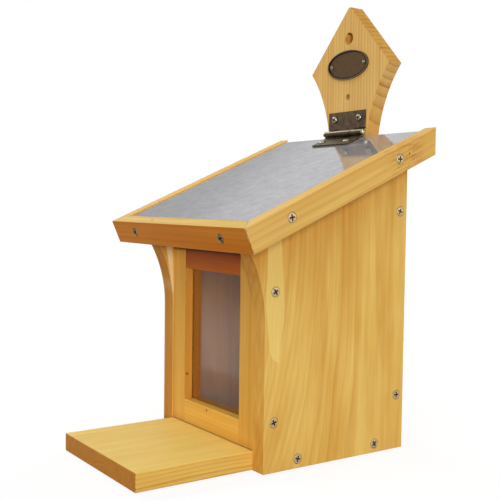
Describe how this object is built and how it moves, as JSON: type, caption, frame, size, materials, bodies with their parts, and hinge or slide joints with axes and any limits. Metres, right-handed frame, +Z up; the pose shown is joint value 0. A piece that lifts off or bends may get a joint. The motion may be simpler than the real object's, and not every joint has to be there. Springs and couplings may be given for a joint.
{
  "type": "squirrel feeder box",
  "caption": "Pine squirrel feeder box with a sloping metal-clad lid on a butt hinge, a framed clear window, a landing board and a pointed backboard with a hanging hole.",
  "frame": {"origin": "middle of the bottom of the box around the whole feeder, on the plane that its floor stands on", "axes": "+X to the right as seen by someone in front of the window, +Y to the back towards the wall, +Z up"},
  "size_m": [0.217, 0.2664, 0.3933],
  "materials": {
    "pine": "planed and oiled",
    "frame_pine": "planed and oiled",
    "batten_pine": "planed and oiled",
    "sheet_metal": "mill finish, satin",
    "bronze": "antique bronze, satin",
    "zinc_steel": "yellow zinc plated",
    "clear_pane": "clear, glossy"
  },
  "bodies": {
    "box": {"floor_board": "pine", "side_panel_right": "pine", "side_panel_left": "pine", "back_panel": "pine", "backboard": "pine", "stile_right": "frame_pine", "stile_left": "frame_pine", "bottom_rail": "frame_pine", "top_rail": "frame_pine", "window_pane": "clear_pane", "side_screw_right_1": "zinc_steel", "side_screw_right_2": "zinc_steel", "side_screw_right_3": "zinc_steel", "side_screw_right_4": "zinc_steel", "side_screw_right_5": "zinc_steel", "side_screw_right_6": "zinc_steel", "side_screw_left_1": "zinc_steel", "side_screw_left_2": "zinc_steel", "side_screw_left_3": "zinc_steel", "side_screw_left_4": "zinc_steel", "side_screw_left_5": "zinc_steel", "side_screw_left_6": "zinc_steel", "backboard_screw_1": "zinc_steel", "backboard_screw_2": "zinc_steel", "backboard_screw_3": "zinc_steel", "hinge_leaf_upper": "bronze", "hinge_pin": "bronze", "upper_leaf_screw_right": "zinc_steel", "upper_leaf_screw_left": "zinc_steel", "oval_plate": "bronze", "plate_pin_right": "zinc_steel", "plate_pin_left": "zinc_steel"},
    "lid": {"lid_board": "pine", "roof_sheet": "sheet_metal", "front_batten": "batten_pine", "batten_right": "batten_pine", "batten_left": "batten_pine", "hinge_leaf_lower": "bronze", "lower_leaf_screw_right": "zinc_steel", "lower_leaf_screw_left": "zinc_steel", "batten_screw_right_1": "zinc_steel", "batten_screw_right_2": "zinc_steel", "batten_screw_left_1": "zinc_steel", "batten_screw_left_2": "zinc_steel", "front_batten_screw_right": "zinc_steel", "front_batten_screw_left": "zinc_steel"}
  },
  "joints": [
    {"name": "lid_hinge", "type": "hinge", "parent": "box", "child": "lid", "pos_m": [0, 0.11375, 0.27708], "axis": [-1, 0, 0], "range_deg": [0, 110]}
  ]
}
